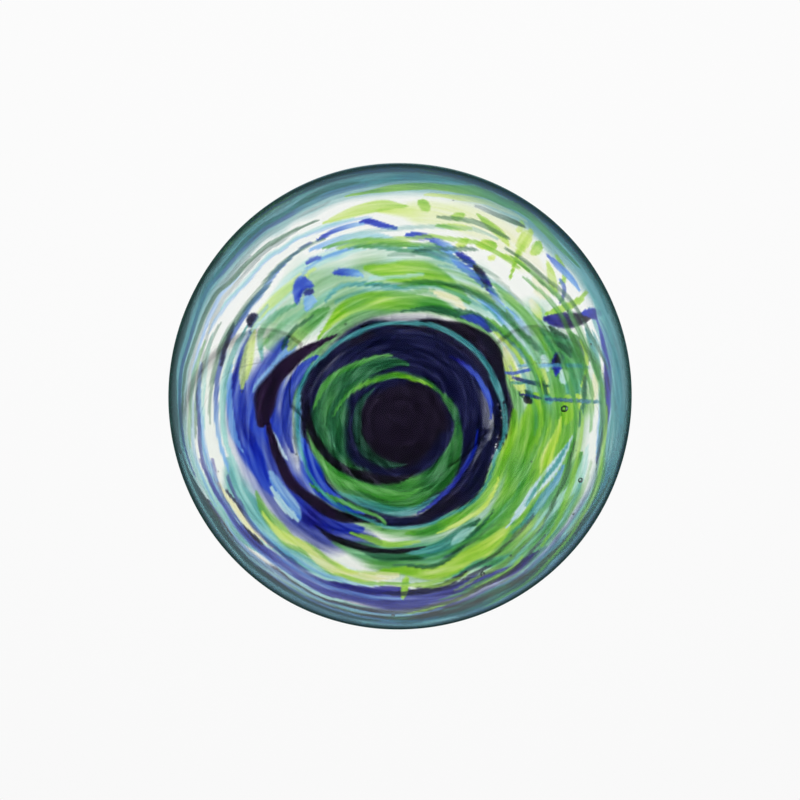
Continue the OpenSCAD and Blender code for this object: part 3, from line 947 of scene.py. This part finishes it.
    (THREAD, "navy", .9, .021, (203, .735), (211, .725), (219, .735), (227, .745)),
    (FRIT, "cream", 1.0, .019, (190, .765), (200, .755), (210, .735), (219, .72), (225, .715)),
    (COBALT, "violet deep", .9, .074, (214, .76), (228, .745), (242, .735), (258, .725), (275, .72),
     (290, .72), (304, .735), (318, .77)),
    (THREAD, "deep", .85, .026, (246, .7), (258, .695), (268, .69), (274, .69)),
    (THREAD, "navy", .9, .028, (268, .695), (275, .695), (281, .685), (288, .675), (294, .67)),
    (TEAL, "smoke aqua", .8, .014, (232, .765), (248, .765), (268, .765), (285, .76)),
    (THREAD, "black forest", .95, .063, (190, .87), (205, .84), (222, .815), (240, .8), (258, .795),
     (275, .795), (292, .8), (308, .81), (325, .83), (342, .86)),
    (TEAL, "teal aqua", .8, .047, (322, .79), (338, .81), (352, .835), (368, .85), (384, .87), (396, .88)),
    (LIME, "lime", .95, .032, (271.5, .64), (271, .67), (270.5, .7), (270, .72)),
]


# The colours of the fine threads in each quarter of the base, anticlockwise from the right.
THREAD_KINDS = [
    ((LIME, "leaf"), (LIME, "lime"), (LIME, "forest"), (TEAL, "teal")),
    ((TEAL, "aqua"), (TEAL, "forest"), (COBALT, "sky"), (LIME, "leaf")),
    ((COBALT, "violet"), (COBALT, "sky"), (THREAD, "deep"),
     (TEAL, "aqua")),
    ((THREAD, "navy"), (TEAL, "teal"), (LIME, "leaf"), (LIME, "lime"))]


def threads(count):
    """Fine drawn threads that follow the swirl all round the base."""
    rng = random.Random(23)
    rows = []
    for _ in range(count):
        start, length = rng.uniform(0, 360), rng.uniform(20, 75)
        middle = (start + length / 2) % 360
        nearest = 0.7 if 120 < middle < 250 else 0.54
        radius, drift = rng.uniform(nearest, 0.84), rng.uniform(-0.05, 0.015)
        piece, colour = rng.choice(THREAD_KINDS[int(middle // 90)])
        width = rng.uniform(0.004, 0.014)
        rows.append((piece, colour, rng.uniform(0.3, 0.65), (start, radius, width * 0.3),
                     (start + length / 2, radius + 0.6 * drift, width),
                     (start + length, radius + drift, width * 0.3)))
    return rows


# The main ribbons that climb the wall: as UNDER, but (angle, height in mm, width in mm).
OVER = [
    ("teal_ribbons", "teal aqua", 0.75, (225, 20, 10), (255, 30, 13), (292, 42, 8), (335, 58, 3)),
    ("teal_ribbons", "aqua teal", 0.7, (10, 20, 10), (40, 38, 12), (76, 54, 6), (116, 70, 2)),
    ("lime_ribbons", "lime leaf", 0.8, (270, 20, 6), (300, 38, 9), (336, 54, 5), (372, 66, 2)),
    ("lime_ribbons", "lime yellow", 0.8, (100, 20, 4), (132, 38, 7), (168, 52, 3), (208, 62, 1)),
    ("cobalt_ribbons", "cobalt violet", 0.9, (30, 20, 8), (62, 38, 11), (98, 50, 6), (134, 60, 2.5),
     (160, 68, 2)),
    ("cobalt_ribbons", "cobalt sky", 0.85, (318, 22, 5), (350, 38, 7), (386, 52, 4), (424, 64, 2)),
    ("cobalt_ribbons", "deep cobalt", 0.85, (60, 24, 2), (92, 38, 3.5), (130, 50, 2), (172, 60, 2)),
]


def strands(count):
    """Fine strands between the ribbons, which all lean the way the gather was turned."""
    rng = random.Random(11)
    kinds = [("cobalt_ribbons", "cobalt violet"), ("cobalt_ribbons", "sky cobalt"),
             ("teal_ribbons", "teal aqua"), ("teal_ribbons", "aqua teal"),
             ("lime_ribbons", "leaf lime"), ("lime_ribbons", "lime yellow")]
    rows = []
    for i in range(count):
        piece, colours = rng.choice(kinds)
        start = i * 360 / count + rng.uniform(-6, 6)
        low, rise = rng.uniform(18, 36), rng.uniform(12, 44) * rng.uniform(0.5, 1)
        lean, width = rng.uniform(40, 90), rng.uniform(1.5, 6)
        if 170 < (start + lean) % 360 < 350:
            rise = min(rise, 46 - low)
        rows.append((piece, colours, rng.uniform(0.5, 0.9), (start, low, width * 0.6),
                     (start + 0.5 * lean, low + 0.42 * rise, width),
                     (start + lean, low + rise, width * 0.25)))
    return rows


# The seeds seen in the base, as (angle, radius share, diameter in mm), then how many more
# small ones are scattered through the wall.
SEEDS = [(4.8, .657, 1.7), (341, .75, 1.3), (298, .7, 1.2), (292, .69, .8), (309, .7, .6),
         (268, .79, .9), (276, .82, .7), (76, .87, .5), (21, .8, .6), (118, .47, .6),
         (100, .36, .5), (62, .44, .5), (238, .52, .6), (196, .44, .5)]
SMALL_SEEDS = 46
SEED_SHARE = 0.44


def bubble(centre, radius, rings=8, segments=14):
    """A small ball as vertices and faces."""
    lines = [(radius * math.sin(math.pi * i / rings), -radius * math.cos(math.pi * i / rings))
             for i in range(rings + 1)]
    verts, faces = revolve([(lines, 0)], segments)
    return [tuple(centre[k] + v[k] for k in range(3)) for v in verts], faces


def make_bubbles():
    """Air seeds caught between the gathers."""
    rng = random.Random(5)
    wall = Wall(SEED_SHARE)
    spots = [(math.radians(a), float(wall.run_at_radius(r * BODY_R)), d * MM) for a, r, d in SEEDS]
    low, high = wall.run_at_radius(0.2 * BODY_R), wall.run_at_height(SHOULDER_Z)
    for _ in range(SMALL_SEEDS):
        spots.append((rng.uniform(0, 2 * math.pi), rng.uniform(low, high),
                      rng.uniform(0.25, 0.6) * MM))
    verts, faces = [], []
    for angle, run, width in spots:
        more, quads = bubble(wall.place(angle, run), width / 2)
        faces += [[i + len(verts) for i in quad] for quad in quads]
        verts += more
    obj = make_object("air_bubbles", verts, faces)
    face_outward(obj)
    obj.data.materials.append(air_seed())
    return obj


PIECES = {
    "purple_core": ("purple_black", 0.15), "lime_ring": ("lime", 0.4),
    "navy_ring": ("navy", 0.3), "maroon_blade": ("maroon", 0.2),
    "cobalt_swirl": ("cobalt", 0.45), "teal_swirl": ("teal", 0.45),
    "lime_swirl": ("lime", 0.45), "yellow_frit": ("yellow_frit", 0.5),
    "blue_shards": ("blue_shard", 0.3), "navy_threads": ("navy", 0.35),
    "cobalt_ribbons": ("cobalt", 0.45), "teal_ribbons": ("teal", 0.45),
    "lime_ribbons": ("lime", 0.45)}


def coloured_pieces(seam):
    names = list(PIECES)
    sheet = Sheet()
    for i, (piece, colours, amount, *places) in enumerate(VEILS):
        sheet.lay(Stroke(colours, amount, places, soft=0.8, ragged=0.25), names.index(piece), 300 + i)
    for i, (piece, colours, amount, *places) in enumerate(UNDER + threads(THREADS)):
        sheet.lay(Stroke(colours, amount, places), names.index(piece), i)
    for i, (piece, colours, amount, *places) in enumerate(strands(STRANDS) + OVER):
        sheet.lay(Stroke(colours, amount, places, climbs=True), names.index(piece), 500 + i)
    materials = {name: coloured_glass(name + "_tint", PIECES[name][1]) for name in names}
    return sheet, build_pieces(sheet, names, materials, seam)


# ---------------------------------------------------------------- the object
polished = clear_glass("polished_clear_glass")
fused = fused_glass()
# The casing's glass has painted shade that darkens its low wall where it is seen edge on.
casing = make_casing(clear_glass("thick_clear_glass_painted_edge_shade", edge_tint_and_painted_shade=True), fused)
lining = make_lining(polished, fused)
lip = make_lip(clear_glass("lip_glass", see_through=0.35), fused)
sheet, pieces = coloured_pieces(fused)

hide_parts("outer_casing", "neck_casing")
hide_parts("inner_lining", "neck_lining", "clear_bed")
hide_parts("rolled_lip")
for name, obj in pieces.items():
    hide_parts(name)
bubbles = make_bubbles()
for obj in [casing, lining, lip, bubbles, *pieces.values()]:
    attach(obj, "root")

# ---------------------------------------------------------------- stage
# How bright the studio is at heights from straight down, -1, to straight up, 1. The two ends
# come first, since a ramp starts with them.
LIGHT_BY_HEIGHT = [(-1, 0.3), (1, 0.97), (-0.55, 0.08), (-0.2, 0.3), (0.0, 0.62), (0.45, 0.72),
                   (0.85, 0.97)]
CAMERA_TILT = math.radians(10.3)
CAMERA_DISTANCE = 0.75
CAMERA_FILL = 0.576
CAMERA_SHIFT = -0.0066
FLOOR_HALF = 1.5
FLOOR_Z = -0.2 * MM


def make_world():
    world = bpy.data.worlds.new("studio")
    bpy.context.scene.world = world
    world.use_nodes = True
    nodes, links = world.node_tree.nodes, world.node_tree.links
    back = nodes["Background"]
    place = nodes.new("ShaderNodeTexCoord").outputs["Generated"]
    split = nodes.new("ShaderNodeSeparateXYZ")
    links.new(place, split.inputs[0])
    ramp = nodes.new("ShaderNodeValToRGB")
    height = math_node(nodes, links, "MULTIPLY_ADD", split.outputs[2], 0.5, 0.5)
    stops = ramp.color_ramp.elements
    for i, (z, light) in enumerate(LIGHT_BY_HEIGHT):
        stop = stops[i] if i < 2 else stops.new(0.5)
        stop.position, stop.color = (z + 1) / 2, (light, light, light, 1)
    links.new(height, ramp.inputs[0])
    links.new(ramp.outputs[0], back.inputs[0])


def make_camera():
    """Below the foot and looking up, as the photograph looks at the vase lying down."""
    data = bpy.data.cameras.new("camera")
    camera = bpy.data.objects.new("camera", data)
    bpy.context.scene.collection.objects.link(camera)
    bpy.context.scene.camera = camera
    data.sensor_width = 36
    data.shift_y = CAMERA_SHIFT
    data.lens = data.sensor_width * CAMERA_DISTANCE * CAMERA_FILL / (2 * BODY_R)
    away = Vector((0, math.sin(CAMERA_TILT), -math.cos(CAMERA_TILT)))
    right = (-away).cross(Vector((0, 1, 0))).normalized()
    turn = Matrix((right, right.cross(-away), away)).transposed()
    aim = Vector((0, 0, BELLY_Z))
    camera.matrix_world = Matrix.Translation(aim + away * CAMERA_DISTANCE) @ turn.to_4x4()


def make_floor():
    """A pale floor under the foot. From below, where the photograph was taken from, it lets
    everything through."""
    corners = [(x * FLOOR_HALF, y * FLOOR_HALF, FLOOR_Z)
               for x, y in ((-1, -1), (1, -1), (1, 1), (-1, 1))]
    floor = make_object("floor", corners, [(0, 1, 2, 3)])
    mat, nodes, links = new_material("pale_floor")
    out = nodes.new("ShaderNodeOutputMaterial")
    paint = node(nodes, "ShaderNodeBsdfDiffuse", Color=(0.86, 0.87, 0.88, 1))
    clear = nodes.new("ShaderNodeBsdfTransparent")
    side = nodes.new("ShaderNodeNewGeometry").outputs["Backfacing"]
    mixed = nodes.new("ShaderNodeMixShader")
    links.new(side, mixed.inputs[0])
    links.new(paint.outputs[0], mixed.inputs[1])
    links.new(clear.outputs[0], mixed.inputs[2])
    links.new(mixed.outputs[0], out.inputs[0])
    floor.data.materials.append(mat)


GLINT_PLACE = (0.062, -0.045, -0.59)
GLINT_SIZE = (0.1, 0.03)
GLINT_POWER = 0.16


def make_glint():
    """A small area light under the foot, for a glint in its polished hollow. Seen from the
    camera the glint is too faint to notice."""
    data = bpy.data.lights.new("window_light", "AREA")
    data.shape = "RECTANGLE"
    data.size, data.size_y = GLINT_SIZE
    data.energy = GLINT_POWER
    light = bpy.data.objects.new("window_light", data)
    bpy.context.scene.collection.objects.link(light)
    place = Vector(GLINT_PLACE)
    light.location = place
    light.rotation_euler = (-place).to_track_quat("-Z", "Y").to_euler()


make_world()
make_floor()
make_camera()
make_glint()
scene = bpy.context.scene
scene.view_settings.view_transform = "Standard"
scene.cycles.max_bounces = 24
scene.cycles.transmission_bounces = 24
scene.cycles.transparent_max_bounces = 96
